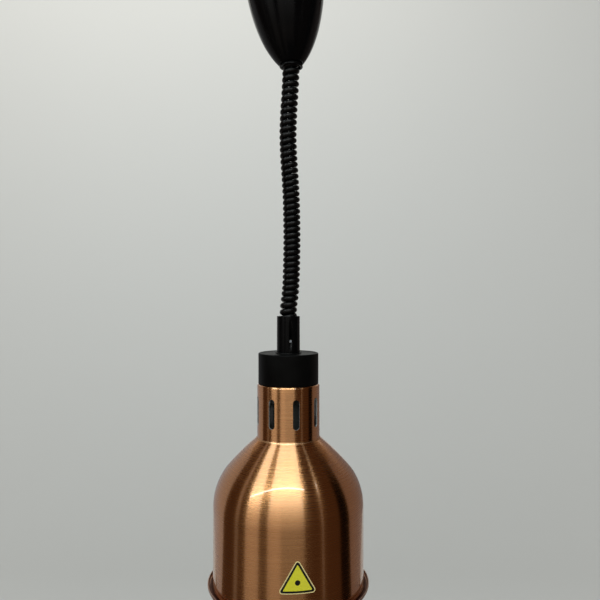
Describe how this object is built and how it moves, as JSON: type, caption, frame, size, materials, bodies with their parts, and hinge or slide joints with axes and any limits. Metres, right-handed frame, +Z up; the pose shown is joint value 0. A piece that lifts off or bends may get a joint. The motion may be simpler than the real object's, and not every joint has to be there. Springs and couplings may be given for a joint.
{
  "type": "heat lamp fixture",
  "caption": "Ceiling-hung heat lamp: a bell shade with a reflector bulb hangs on a sprung wire inside a curly cord and is pulled down from a canopy.",
  "frame": {"origin": "middle of the ceiling bracket's top face, where it meets the ceiling", "axes": "+Z up, -Y the front, where the label is, +X to the right seen from the front"},
  "size_m": [0.1726, 0.1726, 0.6913],
  "materials": {
    "zinc_steel": "zinc plated",
    "spring_steel": "blued spring steel",
    "nylon": "natural nylon",
    "black_plastic": "moulded",
    "flex_black": "glossy flex sheath",
    "brass": "plain",
    "canopy_black": "high gloss",
    "cap_black": "satin black",
    "copper_finish": "copper plated, finely brushed round the axis",
    "porcelain": "dark brown-green glaze, opaque",
    "label_yellow": "printed vinyl",
    "bulb_glass": "frosted face, silvered behind",
    "aluminium": "plain",
    "tungsten": "drawn wire"
  },
  "bodies": {
    "ceiling_frame": {"ceiling_bracket": "zinc_steel", "frame_screw_left": "zinc_steel", "frame_screw_right": "zinc_steel", "reel_frame": "zinc_steel", "reel_axle": "zinc_steel", "axle_clip": "spring_steel", "reel_spring": "spring_steel", "wire_guide": "nylon", "guide_screw_left": "zinc_steel", "guide_screw_right": "zinc_steel", "guide_tube": "nylon", "guide_nut": "black_plastic", "cord_grommet": "flex_black", "cord_tail": "flex_black", "wire_lead": "zinc_steel", "terminal_block": "nylon", "terminal_screw_1": "brass", "terminal_screw_2": "brass", "terminal_screw_3": "brass"},
    "reel": {"reel_drum": "black_plastic", "spring_cover": "zinc_steel", "wound_wire": "zinc_steel"},
    "collar": {"outlet_collar": "canopy_black", "collar_screw": "zinc_steel"},
    "canopy": {"canopy_shell": "canopy_black"},
    "hanger": {"curly_cord": "flex_black", "suspension_wire": "zinc_steel"},
    "lamp": {"cord_tube": "canopy_black", "wire_anchor": "brass", "wire_ferrule": "brass", "anchor_screw": "zinc_steel", "tube_nut": "zinc_steel", "socket_cap": "cap_black", "cap_screw_left": "zinc_steel", "cap_screw_right": "zinc_steel", "holder_bracket": "zinc_steel", "holder_screw_front": "zinc_steel", "holder_screw_back": "zinc_steel", "lamp_holder": "porcelain", "screw_shell": "brass", "centre_contact": "brass", "lamp_lead": "flex_black", "earth_screw": "brass", "shade": "copper_finish", "label": "label_yellow"},
    "bulb": {"bulb_glass": "bulb_glass", "bulb_cap": "aluminium", "bulb_insulator": "black_plastic", "bulb_contact": "brass", "filament_stem": "bulb_glass", "filament": "tungsten"}
  },
  "joints": [
    {"name": "canopy_drop", "type": "slide", "parent": "ceiling_frame", "child": "collar", "axis": [0, 0, -1], "range_m": [0, 0.12]},
    {"name": "canopy_tilt", "type": "hinge", "parent": "collar", "child": "canopy", "pos_m": [0, 0, -0.1335], "axis": [0, 1, 0], "range_deg": [0, 9]},
    {"name": "lamp_swing", "type": "hinge", "parent": "ceiling_frame", "child": "hanger", "pos_m": [0, 0, -0.1338], "axis": [0, 1, 0], "range_deg": [-12, 12]},
    {"name": "pull_down", "type": "slide", "parent": "hanger", "child": "lamp", "axis": [0, 0, -1], "range_m": [0, 0.8], "deforming": ["curly_cord", "suspension_wire"]},
    {"name": "reel_turn", "type": "hinge", "parent": "ceiling_frame", "child": "reel", "pos_m": [0, 0.006, -0.048], "axis": [1, 0, 0], "range_deg": [0, 2295]},
    {"name": "bulb_out", "type": "slide", "parent": "lamp", "child": "bulb", "axis": [0, 0, -1], "range_m": [0, 0.19]}
  ],
  "couplings": [
    {"joint": "reel_turn", "follows": "pull_down", "rad_per_m": 50}
  ]
}
